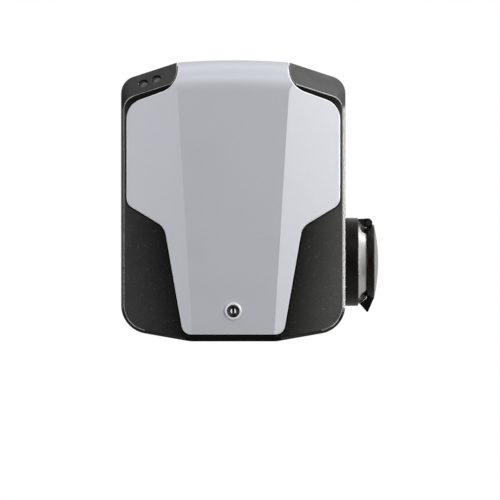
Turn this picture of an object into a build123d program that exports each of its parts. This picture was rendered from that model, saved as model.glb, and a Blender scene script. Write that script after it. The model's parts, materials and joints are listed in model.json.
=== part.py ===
from build123d import *
import os
from math import atan, cos, degrees, radians, sin, tan

# A wall charging box with a side socket. All sizes are in millimetres.
# X runs to the right, Y towards the wall, Z up. The wall plane is Y = 0.
# Heights are counted from the lowest edge of the cover. The finished pieces are
# moved down so that the origin lies in the middle of the wall bolts.

# Housing in the front view
WIDTH = 220.0
HEIGHT = 275.4
ROOF_HALF = 55.0            # half the width of the middle of the roof
ROOF_SLOPE = 18.0           # fall of the shoulders to the sides, degrees
ROOF_CORNER = 17.0          # rounding from shoulder to side
KEEL_HALF = 42.0            # half the width of the level part of the underside
KEEL_SLOPE = 9.7            # rise of the underside to the sides, degrees
KEEL_CORNER = 28.0          # rounding from underside to side
KEEL_ROUND = 20.0           # rounding between the level and the rising underside

# Depths from the wall
SEAM = 88.6                 # front edge of the rear housing
COVER_DEEP = 27.4           # front of the shield in front of the seam
SEAM_GAP = 0.6
STEP = 1.5                  # shield stands this far in front of the cover
WALL = 4.0                  # rear housing
COVER_WALL = 3.0
COVER_SPARE = 0.5           # front wall of the cover thicker by this
FACET_ANGLE = 10.0          # side facets turn back from the middle facet
CREASE_LOW = 39.7           # half the width of the middle facet at the bottom
CREASE_TOP = 56.5           # and at the top
REAR_ROUND = 3.0

# Shoulders and bevels of the cover
SHOULDER_TAPER = 50.0       # widening of the bevels to the rear, degrees
SHOULDER_FOOT = 1.3         # the inclined shoulders end this far in front of the seam
SHOULDER_CORNER = 14.0
SIDE_BEVEL = 2.6
KEEL_BEVEL = 3.0
LIP_BEVEL = 5.0             # bevel under the shield at the bottom
CREASE_IN = 40.0            # crease outline continued under the shield
BEVEL_DEEP = 45.0           # reach of the bevels to the rear

# Shield
SHIELD_WALL = 3.0
SHIELD_GAP = 0.8            # joint between shield and cover in the front view
SHIELD_SEAT = 0.15          # air under the shield
SHIELD_RIM = 5.4            # cover left showing beside the shield
SHIELD_SLOPE = 19.9
SHIELD_SLOPE_AT = 0.743     # where the slope's height is set, of the half width
SHIELD_MARGIN = 5.3         # cover left showing below the shoulder crease
SHIELD_FOOT = 7.0           # height of the lower edge
FOOT_HALF = 49.2
WAIST_HALF = 67.5
WAIST_HEIGHT = 0.407 * HEIGHT
HIP_HEIGHT = 0.488 * HEIGHT
NECK_HALF = 54.3
FOOT_ROUND = 9.0
WAIST_ROUND = 17.0
HIP_ROUND = 11.0
SHOULDER_ROUND = 20.0
NECK_ROUND = 24.0
ROLL = 28.0                 # rolled top edge of the shield
ARCH_RISE = 2.2             # rise of the top over the width of the neck
SHIELD_EDGE = 0.8           # rounding of the outer edge

# Top hinge of the cover
HINGE_Y = -29.0
PIN_R = 2.0
PIN_PLAY = 0.05
KNUCKLE_R = 4.5
KNUCKLE_LONG = 16.0
LUG_LONG = 7.0
LUG_PLAY = 0.5
HINGE_HALF = 30.0           # the two hinges stand this far from the middle
TONGUE_HALF = 51.0
CHANNEL_HALF = 57.0         # channel in the roof of the rear housing
CHANNEL_DROP = 11.9         # channel floor below the crest
KNUCKLE_AIR = 0.5           # knuckle above the channel floor
TONGUE_AIR = 2.0            # tongue ends in front of the knuckles
DRIP = 2.0                  # rib in front of the channel, below its floor
ARM_LOW = 2.0               # arms from the tongue to the knuckles, below and above the pin
ARM_HIGH = 2.4
ARM_ROOT = 4.0

# Cover seal
SEAL_IN = 1.0
SEAL_WIDE = 2.0
SEAL_GROOVE = 1.2
SEAL_PROUD = 0.3

# Status windows in the left shoulder
LED_R = 4.5
LED_PLAY = 0.1
LED_SINK = 1.0
LED_THICK = 2.0
LED_AT = (0.790, 0.673)     # places of the two windows along the shoulder, of the half width
LED_STEM_R = 2.6
LED_STEM = 3.0
LED_BOARD = (30.0, 8.0, 1.6)
LED_BORE = 24.0

# Key lock
LOCK_HEIGHT = 29.9
LOCK_R = 7.0
LOCK_PLAY = 0.1
LOCK_RING_R = 8.4
LOCK_RING = 2.4
LOCK_RING_ROUND = 1.0
LOCK_MOUTH_R = 6.2          # funnel in the ring
LOCK_MOUTH = 1.0
PLUG_R = 5.2
PLUG_PLAY = 0.05
PLUG_DISH = 0.6             # hollow of the plug's face
KEY_SLOT = (1.6, 8.6, 9.0)
CAM_SCREW_R = 2.0
CAM_SCREW_HEAD_R = 4.0
CAM_SCREW_HEAD = 2.0
CAM_SCREW_LONG = 8.0
CAM_SCREW_AIR = 0.5
CAM_SCREW_SLOT = (1.2, 1.0)  # width and depth
CAM_LONG = 22.0
CAM_WIDE = 10.0
CAM_THICK = 2.0
CAM_AIR = 0.3
CATCH_WIDE = 20.0
CATCH_THICK = 3.0
CATCH_TOP = 17.0
CATCH_IN = 1.0              # catch behind the seam
NUT_FLATS = 20.0
NUT_THICK = 4.0
NUT_PLAY = 0.05

# Wall bolts
BOLT_SIDE = 30.0            # in from the sides
BOLT_EDGE = 27.7            # in from the top and the bottom
BOLT_R = 3.5
BOLT_BOSS_R = 8.0
BOLT_BOSS = 5.0

# Socket on the right side
SOCKET_SHIFT = 0.6          # axis in front of the middle of the rear housing
SOCKET_Z = 76.6
GASKET = 1.0
GASKET_IN = 0.5
FLANGE_R = 43.5
FLANGE = 12.1
FLANGE_ROUND = 1.0
BEZEL_R = 42.4
BEZEL_TIP_R = 35.6
BEZEL = 8.0
WELL_R = 31.5
WELL_WALL = 1.3
WELL_DEEP = 26.0            # depth of the well behind the outside of the wall
WELL_PLAY = 0.2
SCREW_PCD_R = 36.8
SCREW_ANGLE = 57.0
SCREW_R = 2.0
SCREW_PLAY = 0.15
SCREW_HEAD_R = 4.2
SCREW_HEAD = 2.6
SCREW_CROSS = (1.0, 4.8, 1.2)
SCREW_TIP = 2.0             # screws end in front of the bosses' rear
SCREW_BOSS = 8.0            # bosses behind the side wall
SCREW_BOSS_WALL = 3.0
POCKET_R = 4.6
POCKET_FLOOR = 3.0
TOWER_R = 26.5
TOWER_FLAT = 20.0
TOWER_LONG = 31.0
CARRIER = 8.0
INSERT_PLAY = 0.1
POWER_R = 5.0
SIGNAL_R = 3.4
SLEEVE_PLAY = 0.1
SLEEVE_WALL = 1.2
SLEEVE_TAIL = 10.0          # contacts behind the carrier
SLEEVE_SINK = 3.0           # contacts below the face of the tower
LID_R = 37.0
LID = 7.1
LID_AIR = 0.6
LID_ROUND = 1.2
DOME_R = 36.4
DOME = 4.2
LID_AXIS_UP = 38.7
LID_AXIS_OUT = 1.5          # hinge axis in front of the lid's inner face
EAR_IN = 9.0                # inside of the two ears that hold the pin, from the middle
EAR_WIDE = 5.0
EAR_R = 4.3                 # reach of the ears round the pin
EAR_TOP = 4.1               # flat top above the pin
EAR_FALL = (0.4, 1.5)       # fall of the top to the flange and to the root
EAR_NOSE = (1.0, 3.2, 1.4)  # front of the ears before the pin: foot, belly and top
EAR_BELLY = 1.0             # belly below the pin
EAR_ROOT = 6.0              # bracket sunk in the flange
EAR_ROOT_HALF = 5.5         # half the width of the bracket at the flange
EAR_AIR = 0.6
LUG_R = 3.9                 # hinge lug of the lid round the pin
LUG_TOP = 1.4               # level top of the lug before the pin
LUG_ROOT = 5.0              # lug runs down into the lid
LUG_IN = (0.5, 0.3)         # lug in from the lid's rear and front faces
LID_PIN_R = 2.0
LID_PIN_OUT = 1.0
LID_PIN_HEAD = (0.9, 1.2)   # head over the pin's radius, and its thickness
TAB_HALF = 9.0
TAB_REACH = 50.0
TAB_NEAR = 1.6              # tab reaches this near to the flange's face
TAB_AIR = 0.7               # tab below the bezel's cone
TAB_TIP = 0.8               # tip behind the hinge axis
TAB_ROOT = (4.0, 2.0, 1.0)  # tab up into the lid, at its front edge, and in from the front
TAB_ROUND = 1.2
LID_SEAL_R = 33.2
LID_SEAL_WIDE = 2.4
LID_SEAL_DEEP = 1.5
LID_SEAL_PROUD = 0.25

# Plug lock above the socket
BOLT_PIN_R = 4.0
BOLT_PIN_PLAY = 0.08
BOLT_PIN_LONG = 21.0
BOLT_PIN_X = 12.0           # behind the outside of the wall
BOLT_PIN_LIFT = 0.2         # tip of the bolt behind the wall of the well
ACTUATOR = (26.0, 30.0, 27.0)
ACTUATOR_NOSE = 7.0         # actuator past the bolt's axis
ACTUATOR_AIR = 0.3

# Rail and switchgear
TOP_AIR = 18.0              # devices below the roof
RAIL_END = 12.0             # rail ends in from the sides
RAIL_SCREW_IN = 6.0
RAIL_SCREW_TIP = 1.6        # tip in front of the wall plane
RAIL = (35.0, 7.5, 1.0, 27.0)
RAIL_PAD = 1.5
UNIT = 18.0                 # width of one pole
BREAKER_SIDE = 13.0         # breaker in from the left side
BREAKER_POLES = 4
RELAY_POLES = 3
UNIT_GAP = 2.0
UNIT_TALL = 85.0
NOSE_TALL = 45.0
SHOULDER_Y = 44.0           # depth of the device shoulders in front of the rail
NOSE_Y = 61.0
LEVER_WIDE = 22.0
LEVER_R = 6.0
LEVER_OUT = 17.0
LEVER_AIR = 0.4
LEVER_SINK = 2.0
LEVER_TILT = 28.0
LEVER_AT = 0.42             # along the breaker's width
LEVER_PIN_R = 1.5
LEVER_PIN = 3.0
BUTTON = 8.0
BUTTON_OUT = 2.0
BUTTON_IN = 4.0
BUTTON_TRAVEL = 2.0         # room behind the button
BUTTON_PLAY = 0.2
BUTTON_AT = 0.82
CONTACTOR_RECESS = (8.0, 6.0, 2.0)  # in from the sides, half height and depth
WELL_SCREW_R = 3.0
WELL_SCREW = 6.0
TERMINALS = 5
TERMINAL_WIDE = 6.2
TERMINAL_GAP = 0.3
TERMINAL_SCREW_R = 2.4
TERMINAL_SCREW_IN = 8.0
TERMINAL_TALL = 50.0
TERMINAL_DEEP = 40.0

# Control board
BOARD = (104.0, 74.0, 1.6)
BOARD_SIDE = 24.0           # board in from the left side
BOARD_AIR = 12.0            # below the breaker
BOARD_Y = -20.0
RELAYS = 3
RELAY = (20.0, 15.0, 18.0)  # width, height and depth of the blocks on the board
RELAY_PITCH = 23.0
TRANSFORMER = (34.0, 30.0, 24.0)
CAPACITOR_R = 6.0
CAPACITOR = 22.0
CHIP = (14.0, 14.0, 2.0)
CONNECTOR_WIDE = 10.0
CONNECTOR = 12.0
CONNECTOR_LONG = 36.0
PART_GAP = 4.0
POST_R = 4.0
BOARD_EDGE = 6.0
M3_R = 1.5
M3_PLAY = 0.1
M3_HEAD_R = 2.8
M3_HEAD = 2.0
M3_SLOT = (0.8, 0.8)        # width and depth
M3_LONG = 10.0

# Touch guard
GUARD_AIR = 7.0             # in front of the device shoulders
GUARD = 2.5
GUARD_POST_SIDE = 12.0      # left post in from the side
GUARD_POST_TOP = 26.4       # upper posts below the top
GUARD_POST_LOW = 26.0       # lower posts above the bottom
GUARD_POST_HALF = (55.0, 50.0, 46.0)
GUARD_SOCKET_SIDE = 60.0    # cut-out round the socket, in from the right side
GUARD_SOCKET_AIR = 12.0
GUARD_EDGE = 1.5
GUARD_POST_R = 4.5
GUARD_WINDOW_AIR = 1.0

# Supply entry
ENTRY_X = 20.0
ENTRY_Y = -40.0
ENTRY_R = 15.0
ENTRY_CABLE_R = 7.0
ENTRY_LIP = 2.5
ENTRY_LIP_WIDE = 3.0
ENTRY_BOSS = 8.0
ENTRY_BOSS_WALL = 4.5
ENTRY_PLAY = 0.1
ENTRY_COLLAR = 2.0

# Sizes that follow from the ones above
BIG = 700.0
FAR = 40.0                  # cutting bodies reach this far past the housing
NEAR = 0.01
ORIGIN_HEIGHT = HEIGHT / 2
HALF = WIDTH / 2
DEPTH = SEAM + COVER_DEEP
ROOF = HEIGHT - ARCH_RISE
ROOF_FALL = tan(radians(ROOF_SLOPE))
KEEL_RISE = tan(radians(KEEL_SLOPE))
SIDE_FALL = (HALF - CREASE_TOP) * tan(radians(FACET_ANGLE))
SHOULDER_DEEP = COVER_DEEP - STEP - SIDE_FALL - SHOULDER_FOOT
SHOULDER_DROP = SHOULDER_DEEP * tan(radians(SHOULDER_TAPER)) / cos(radians(ROOF_SLOPE))
BLACK = DEPTH - STEP
SHIELD_BACK = DEPTH - SHIELD_WALL
POCKET = SHIELD_BACK - SHIELD_SEAT
COVER_BACK = SEAM + SEAM_GAP
CREASE_LEAN = (CREASE_TOP - CREASE_LOW) / HEIGHT
ARCH_R = (NECK_HALF ** 2 + ARCH_RISE ** 2) / (2 * ARCH_RISE)
ARCH_CENTRE = HEIGHT - ARCH_R
CHANNEL = HEIGHT - CHANNEL_DROP
HINGE_Z = CHANNEL + KNUCKLE_R + KNUCKLE_AIR
TONGUE_REAR = HINGE_Y - KNUCKLE_R - TONGUE_AIR
SOCKET_Y = -SEAM / 2 - SOCKET_SHIFT


def roof(x):
    """Height of the roof line at x, continued under the shield."""
    return ROOF - (x - ROOF_HALF) * ROOF_FALL


def keel(x):
    """Height of the underside at x."""
    return (x - KEEL_HALF) * KEEL_RISE


def rounded(corners):
    """Flat outline from corners given as (x, z, radius)."""
    points = [(x, z) for x, z, r in corners]
    radii = [r for x, z, r in corners]
    return make_face(FilletPolyline(*points, radius=radii, close=True))


def both_sides(half):
    """Close the right half of an outline, given from the bottom up, with its mirror image."""
    return rounded(half + [(-x, z, r) for x, z, r in reversed(half)])


def prism(face, y_rear, y_front):
    """Push a front view outline along Y."""
    return Pos(0, y_rear, 0) * extrude(Plane.XZ * face, y_rear - y_front)


def block(x0, x1, y0, y1, z0, z1):
    """Box between two corners."""
    middle = Pos((x0 + x1) / 2, (y0 + y1) / 2, (z0 + z1) / 2)
    return middle * Box(abs(x1 - x0), abs(y1 - y0), abs(z1 - z0))


def rod_x(r, x0, x1, y, z):
    """Round bar along X."""
    return Pos((x0 + x1) / 2, y, z) * Rot(0, 90, 0) * Cylinder(r, abs(x1 - x0))


def rod_y(r, y0, y1, x, z):
    """Round bar along Y."""
    return Pos(x, (y0 + y1) / 2, z) * Rot(90, 0, 0) * Cylinder(r, abs(y1 - y0))


def rod_z(r, z0, z1, x, y):
    """Round bar along Z."""
    return Pos(x, y, (z0 + z1) / 2) * Cylinder(r, abs(z1 - z0))


def facet_plane(side, depth):
    """Plane of a side facet whose crease lies at the given depth, facing the front."""
    c = cos(radians(FACET_ANGLE))
    s = sin(radians(FACET_ANGLE))
    normal = (side * s, -c, -CREASE_LEAN * s)
    return Plane(origin=(side * CREASE_LOW, -depth, 0), x_dir=(side * c, s, 0), z_dir=normal)


def facet_y(x, z, depth):
    """Y of a side facet at a front view point, for either side."""
    crease = CREASE_LOW + CREASE_LEAN * z
    return -depth + (abs(x) - crease) * tan(radians(FACET_ANGLE))


def behind(plane):
    """Everything on the rear side of a plane."""
    return plane * Pos(0, 0, -BIG / 2) * Box(BIG, BIG, BIG)


def front_body(depth):
    """Everything behind the middle facet and the two side facets."""
    middle = behind(Plane(origin=(0, -depth, 0), x_dir=(1, 0, 0), z_dir=(0, -1, 0)))
    return middle & behind(facet_plane(1, depth)) & behind(facet_plane(-1, depth))


def rolled_body(inset):
    """Body behind the shield, moved in by inset: faceted front, rolled and arched top."""
    top = HEIGHT - inset
    front = -DEPTH + inset
    corners = [(TONGUE_REAR, top), (front, top), (front, -FAR), (TONGUE_REAR, -FAR)]
    side = make_face(FilletPolyline(*corners, radius=[0, ROLL - inset, 0, 0], close=True))
    axis = Axis((0, 0, ARCH_CENTRE), (0, 1, 0))
    sweep = degrees(atan((HALF + FAR) / (-FAR - ARCH_CENTRE)))
    body = revolve(Plane.YZ * side, axis, 2 * sweep).rotate(axis, -sweep)
    return body & behind(facet_plane(1, DEPTH - inset)) & behind(facet_plane(-1, DEPTH - inset))


def bevel(side, depth, grow):
    """What the inclined shoulder and the side bevels take away on one side.

    The crease outline lies on the facet plane at the given depth and widens to the rear."""
    inner = NECK_HALF - CREASE_IN
    outer = HALF - SIDE_BEVEL
    corners = [
        (inner, keel(inner) + KEEL_BEVEL, 0),
        (outer, keel(outer) + KEEL_BEVEL, KEEL_CORNER - SIDE_BEVEL),
        (outer, roof(outer) - SHOULDER_DROP, SHOULDER_CORNER),
        (inner, roof(inner) - SHOULDER_DROP, 0),
    ]
    plane = facet_plane(side, depth)
    flat = []
    for x, z, r in corners:
        local = plane.to_local_coords(Vector(side * x, facet_y(x, z, depth), z))
        flat.append((local.X, local.Y, r))
    crease = offset(rounded(flat), grow, kind=Kind.INTERSECTION)
    keep = extrude(plane * crease, amount=-BEVEL_DEEP, taper=-SHOULDER_TAPER)
    start = NECK_HALF + SHIELD_GAP
    far = side * (HALF + FAR)
    upper = block(side * start, far, -DEPTH - FAR, -DEPTH + FAR, WAIST_HEIGHT, HEIGHT + FAR)
    lower = block(side * KEEL_HALF, far, -DEPTH - FAR, -DEPTH + FAR, -FAR, WAIST_HEIGHT)
    return upper + lower - keep


housing_face = both_sides([
    (KEEL_HALF, 0, KEEL_ROUND),
    (HALF, keel(HALF), KEEL_CORNER),
    (HALF, roof(HALF), ROOF_CORNER),
    (ROOF_HALF, ROOF, 0),
])

shield_half = HALF - SHIELD_RIM
shield_mid = SHIELD_SLOPE_AT * HALF
shield_fall = tan(radians(SHIELD_SLOPE))
shield_mid_z = roof(shield_mid) - SHOULDER_DROP - SHIELD_MARGIN
shield_face = both_sides([
    (FOOT_HALF, SHIELD_FOOT, FOOT_ROUND),
    (WAIST_HALF, WAIST_HEIGHT, WAIST_ROUND),
    (shield_half, HIP_HEIGHT, HIP_ROUND),
    (shield_half, shield_mid_z - (shield_half - shield_mid) * shield_fall, SHOULDER_ROUND),
    (NECK_HALF, shield_mid_z + (shield_mid - NECK_HALF) * shield_fall, NECK_ROUND),
    (NECK_HALF, HEIGHT + FAR, 0),
])

tub_face = housing_face - Pos(0, CHANNEL + HEIGHT / 2) * Rectangle(2 * CHANNEL_HALF, HEIGHT)


def inset(face, amount):
    """Front view outline moved in evenly, corners kept."""
    return offset(face, -amount, kind=Kind.INTERSECTION)


pieces = {}

# Shield: a skin of even thickness cut to its outline
shield = (prism(shield_face, TONGUE_REAR, -DEPTH - FAR) & rolled_body(0)) - rolled_body(SHIELD_WALL)
under_skin = rolled_body(SHIELD_WALL / 4).solids()[0]
shield_line = shield_face.wires()[0]
rim = []
for edge in shield.edges():
    middle = edge.position_at(0.5)
    on_outline = shield_line.distance_to(Vertex(middle.X, middle.Z, 0)) < NEAR
    if on_outline and middle.Y < TONGUE_REAR - NEAR and not under_skin.is_inside(middle):
        rim.append(edge)
shield = fillet(rim, SHIELD_EDGE)
shield -= rod_y(LOCK_R + LOCK_PLAY, -DEPTH - FAR, -COVER_BACK, 0, LOCK_HEIGHT)
pieces["front_shield"] = shield

# Cover: faceted shell with inclined shoulders, a pocket for the shield and a tongue to the hinge
outer = prism(housing_face, -COVER_BACK, -DEPTH - FAR) & front_body(BLACK)
lip = Plane(origin=(0, -BLACK, LIP_BEVEL), x_dir=(1, 0, 0), z_dir=(0, -1, -1))
outer = outer & behind(lip)
outer = outer - bevel(1, BLACK, 0) - bevel(-1, BLACK, 0)
pocket = prism(offset(shield_face, SHIELD_GAP, kind=Kind.ARC), 0, -DEPTH - FAR)
seat = rolled_body(DEPTH - POCKET)
under = rolled_body(DEPTH - POCKET + COVER_WALL)
outer = outer - (pocket - seat)

skin = STEP + COVER_WALL + COVER_SPARE
inner = prism(inset(housing_face, COVER_WALL), -COVER_BACK, -DEPTH)
inner = inner & front_body(BLACK - skin) & under
taper = radians(SHOULDER_TAPER)
grow = skin * tan(taper) - COVER_WALL / cos(taper)
inner = inner - bevel(1, BLACK - skin, grow) - bevel(-1, BLACK - skin, grow)
cover = outer - inner

tongue = block(-TONGUE_HALF, TONGUE_HALF, TONGUE_REAR, -COVER_BACK - COVER_WALL, ROOF - FAR, HEIGHT)
cover += tongue & (seat - under)
drip_rib = block(-CHANNEL_HALF, CHANNEL_HALF, -COVER_BACK, -COVER_BACK - COVER_WALL,
                 CHANNEL - WALL - DRIP, HEIGHT)
cover += drip_rib & outer
for side in (-1, 1):
    x0 = side * HINGE_HALF - KNUCKLE_LONG / 2
    x1 = side * HINGE_HALF + KNUCKLE_LONG / 2
    cover += rod_x(KNUCKLE_R, x0, x1, HINGE_Y, HINGE_Z)
    cover += block(x0, x1, HINGE_Y, TONGUE_REAR - ARM_ROOT, HINGE_Z - ARM_LOW, HINGE_Z + ARM_HIGH)
    cover -= rod_x(PIN_R + PIN_PLAY, x0 - 1, x1 + 1, HINGE_Y, HINGE_Z)
cover -= rod_y(LOCK_R + LOCK_PLAY, -DEPTH - FAR, -COVER_BACK, 0, LOCK_HEIGHT)

# Status windows: lenses on stems in front of a small board, square to the left shoulder
shoulder = facet_plane(-1, BLACK)
facing = Vector(shoulder.z_dir)


def crease_point(x):
    """Point on the left shoulder crease at the distance x from the middle."""
    z = roof(x) - SHOULDER_DROP
    return Vector(-x, facet_y(x, z, BLACK), z)


along = (crease_point(LED_AT[1] * HALF) - crease_point(LED_AT[0] * HALF)).normalized()
upward = along.cross(facing).normalized()
if upward.Z < 0:
    upward = upward * -1.0
led_normal = facing * sin(taper) + upward * cos(taper)
led_rise = SHOULDER_DROP * cos(radians(ROOF_SLOPE)) / 2
led_planes = []
for share in LED_AT:
    centre = crease_point(share * HALF) + upward * led_rise - facing * (led_rise / tan(taper))
    led_planes.append(Plane(origin=centre, x_dir=along, z_dir=led_normal))
lenses = []
for plane in led_planes:
    cover -= plane * Cylinder(LED_R + LED_PLAY, LED_BORE)
    lens = plane * Pos(0, 0, -LED_SINK - LED_THICK / 2) * Cylinder(LED_R, LED_THICK)
    stem = plane * Pos(0, 0, -LED_SINK - LED_THICK - LED_STEM / 2) * Cylinder(LED_STEM_R, LED_STEM)
    lenses.append(lens + stem)
pieces["led_lenses"] = Compound([lens.solids()[0] for lens in lenses])
led_middle = (led_planes[0].origin + led_planes[1].origin) * 0.5
led_base = Plane(origin=led_middle, x_dir=along, z_dir=led_normal)
led_drop = LED_SINK + LED_THICK + LED_STEM + LED_BOARD[2] / 2
pieces["led_board"] = led_base * Pos(0, 0, -led_drop) * Box(*LED_BOARD)
pieces["front_cover"] = cover

# Key lock in the cover
cam_front = -(SEAM - CATCH_IN - CATCH_THICK - CAM_AIR)
cam_rear = cam_front + CAM_THICK
lock_front = -DEPTH - LOCK_RING
barrel = rod_y(LOCK_R, -DEPTH, cam_front - CAM_AIR, 0, LOCK_HEIGHT)
ring = rod_y(LOCK_RING_R, -DEPTH, lock_front, 0, LOCK_HEIGHT)
ring = fillet(ring.faces().sort_by(Axis.Y)[0].edges(), LOCK_RING_ROUND)
barrel += ring
barrel -= rod_y(LOCK_MOUTH_R, lock_front - 1, lock_front + LOCK_MOUTH, 0, LOCK_HEIGHT)
barrel -= rod_y(PLUG_R + PLUG_PLAY, lock_front - 1, 0, 0, LOCK_HEIGHT)
pieces["lock_barrel"] = barrel

plug_front = lock_front + LOCK_MOUTH
plug = rod_y(PLUG_R, plug_front, cam_front, 0, LOCK_HEIGHT)
dish_r = (PLUG_R ** 2 + PLUG_DISH ** 2) / (2 * PLUG_DISH)
plug -= Pos(0, plug_front + PLUG_DISH - dish_r, LOCK_HEIGHT) * Sphere(dish_r)
plug -= block(-KEY_SLOT[0] / 2, KEY_SLOT[0] / 2, plug_front - 1, plug_front + KEY_SLOT[2],
              LOCK_HEIGHT - KEY_SLOT[1] / 2, LOCK_HEIGHT + KEY_SLOT[1] / 2)
plug -= rod_y(CAM_SCREW_R + PLUG_PLAY, cam_front, cam_front - CAM_SCREW_LONG, 0, LOCK_HEIGHT)
pieces["lock_plug"] = plug

cam = rod_y(CAM_WIDE / 2, cam_front, cam_rear, 0, LOCK_HEIGHT)
cam += block(-CAM_LONG + CAM_WIDE / 2, 0, cam_front, cam_rear,
             LOCK_HEIGHT - CAM_WIDE / 2, LOCK_HEIGHT + CAM_WIDE / 2)
cam += rod_y(CAM_WIDE / 2, cam_front, cam_rear, -CAM_LONG + CAM_WIDE / 2, LOCK_HEIGHT)
cam -= rod_y(CAM_SCREW_R + PLUG_PLAY, cam_front - 1, cam_rear + 1, 0, LOCK_HEIGHT)
pieces["lock_cam"] = cam

cam_screw = rod_y(CAM_SCREW_R, cam_front - CAM_SCREW_LONG + CAM_SCREW_AIR, cam_rear, 0, LOCK_HEIGHT)
cam_screw += rod_y(CAM_SCREW_HEAD_R, cam_rear, cam_rear + CAM_SCREW_HEAD, 0, LOCK_HEIGHT)
slot_wide, slot_deep = CAM_SCREW_SLOT
head_rear = cam_rear + CAM_SCREW_HEAD
cam_screw -= block(-slot_wide / 2, slot_wide / 2, head_rear - slot_deep, head_rear + 1,
                   LOCK_HEIGHT - CAM_SCREW_HEAD_R - 1, LOCK_HEIGHT + CAM_SCREW_HEAD_R + 1)
pieces["cam_screw"] = cam_screw

nut_front = -(BLACK - skin)
nut_face = RegularPolygon(NUT_FLATS / 2, 6, major_radius=False)
nut = prism(Pos(0, LOCK_HEIGHT) * nut_face, nut_front + NUT_THICK, nut_front)
nut -= rod_y(LOCK_R + NUT_PLAY, nut_front - 1, nut_front + NUT_THICK + 1, 0, LOCK_HEIGHT)
pieces["lock_nut"] = nut

# Rear housing
tub = prism(tub_face, 0, -SEAM)
tub = fillet(tub.faces().sort_by(Axis.Y)[-1].outer_wire().edges(), REAR_ROUND)
tub -= prism(inset(tub_face, WALL), -WALL, -SEAM - 1)
seal_face = inset(tub_face, SEAL_IN) - inset(tub_face, SEAL_IN + SEAL_WIDE)
tub -= prism(seal_face, -SEAM + SEAL_GROOVE, -SEAM - 1)
pieces["cover_seal"] = prism(seal_face, -SEAM + SEAL_GROOVE, -SEAM - SEAL_PROUD)

pins = []
for side in (-1, 1):
    middle = side * HINGE_HALF
    near = KNUCKLE_LONG / 2 + LUG_PLAY
    far = near + LUG_LONG
    for x0, x1 in ((middle - far, middle - near), (middle + near, middle + far)):
        tub += rod_x(KNUCKLE_R, x0, x1, HINGE_Y, HINGE_Z)
        tub += block(x0, x1, HINGE_Y - KNUCKLE_R, HINGE_Y + KNUCKLE_R, CHANNEL - 1, HINGE_Z)
    tub -= rod_x(PIN_R + PIN_PLAY, middle - far - 1, middle + far + 1, HINGE_Y, HINGE_Z)
    pins.append(rod_x(PIN_R, middle - far, middle + far, HINGE_Y, HINGE_Z).solids()[0])
pieces["cover_hinge_pins"] = Compound(pins)

for x in (BOLT_SIDE - HALF, HALF - BOLT_SIDE):
    for z in (BOLT_EDGE, HEIGHT - BOLT_EDGE):
        tub += rod_y(BOLT_BOSS_R, -WALL + 1, -WALL - BOLT_BOSS, x, z)
        tub -= rod_y(BOLT_R, 1, -WALL - BOLT_BOSS - 1, x, z)

catch_rear = cam_front - CAM_AIR
tub += block(-CATCH_WIDE / 2, CATCH_WIDE / 2, catch_rear, catch_rear - CATCH_THICK, WALL - 1, CATCH_TOP)

# Supply entry in the underside
lip_r = ENTRY_R + ENTRY_LIP_WIDE
tub += rod_z(lip_r + ENTRY_BOSS_WALL - ENTRY_LIP_WIDE, WALL / 2, ENTRY_BOSS, ENTRY_X, ENTRY_Y)
tub -= rod_z(ENTRY_R, -1, ENTRY_BOSS + 1, ENTRY_X, ENTRY_Y)
tub -= rod_z(lip_r + ENTRY_PLAY, -1, ENTRY_LIP, ENTRY_X, ENTRY_Y)
grommet = rod_z(lip_r, 0, ENTRY_LIP, ENTRY_X, ENTRY_Y)
grommet += rod_z(ENTRY_R - ENTRY_PLAY, ENTRY_LIP, ENTRY_BOSS, ENTRY_X, ENTRY_Y)
grommet += rod_z(ENTRY_R + ENTRY_COLLAR, ENTRY_BOSS, ENTRY_BOSS + ENTRY_LIP, ENTRY_X, ENTRY_Y)
grommet -= rod_z(ENTRY_CABLE_R, -1, ENTRY_BOSS + ENTRY_LIP + 1, ENTRY_X, ENTRY_Y)
pieces["supply_grommet"] = grommet

# Rail with its two screws
rail_tall, rail_deep, rail_thick, rail_in = RAIL
rail_rear = -WALL - RAIL_PAD
rail_front = rail_rear - rail_deep
ends = (RAIL_END - HALF, HALF - RAIL_END)
breaker_left = BREAKER_SIDE - HALF
rail_z = roof(-breaker_left) - WALL - TOP_AIR - UNIT_TALL / 2
low = rail_z - rail_in / 2
high = rail_z + rail_in / 2
rail = block(*ends, rail_rear, rail_rear - rail_thick, low, high)
rail += block(*ends, rail_rear, rail_front, low, low + rail_thick)
rail += block(*ends, rail_rear, rail_front, high - rail_thick, high)
rail += block(*ends, rail_front + rail_thick, rail_front, rail_z - rail_tall / 2, low + rail_thick)
rail += block(*ends, rail_front + rail_thick, rail_front, high - rail_thick, rail_z + rail_tall / 2)
rail_screws = []
for side in (-1, 1):
    x = side * (ends[1] - RAIL_SCREW_IN)
    tub += block(x - RAIL_SCREW_IN, x + RAIL_SCREW_IN, -WALL + 1, rail_rear, low, high)
    tub -= rod_y(SCREW_R + M3_PLAY, rail_rear - 1, 2 * M3_PLAY - RAIL_SCREW_TIP, x, rail_z)
    rail -= rod_y(SCREW_R + M3_PLAY, rail_rear + 1, rail_front - 1, x, rail_z)
    screw = rod_y(SCREW_R, rail_rear - rail_thick, -RAIL_SCREW_TIP, x, rail_z)
    screw += rod_y(SCREW_HEAD_R, rail_rear - rail_thick, rail_rear - rail_thick - SCREW_HEAD, x, rail_z)
    rail_screws.append(screw.solids()[0])
pieces["din_rail"] = rail
pieces["rail_screws"] = Compound(rail_screws)


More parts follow.
